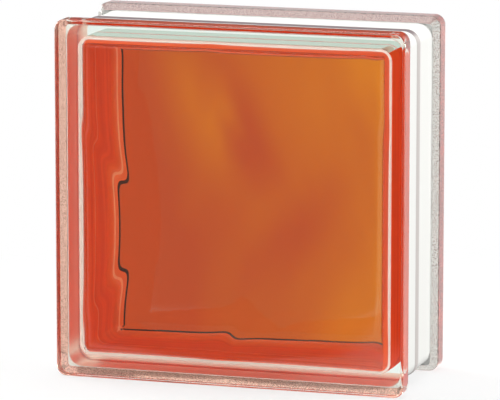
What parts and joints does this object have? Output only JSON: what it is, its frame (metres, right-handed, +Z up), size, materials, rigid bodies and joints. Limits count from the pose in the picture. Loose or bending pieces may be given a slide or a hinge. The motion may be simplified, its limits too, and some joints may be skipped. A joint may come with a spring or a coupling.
{
  "type": "glass block",
  "caption": "Square hollow glass block with an orange-coated wavy cavity behind clear faces, and overhanging flanges that form a white-coated mortar channel round its edges.",
  "frame": {"origin": "centre of the block's footprint, at the level of the lower edge it stands on", "axes": "+Z up, +X along the block's width, +Y through its depth with the front face at -Y"},
  "size_m": [0.19, 0.08, 0.19],
  "materials": {
    "glass": "clear pressed glass, orange translucent coat on the cavity's side walls and rear face, white key coat in the channel"
  },
  "bodies": {
    "root": {"glass_block": "glass"}
  },
  "joints": []
}
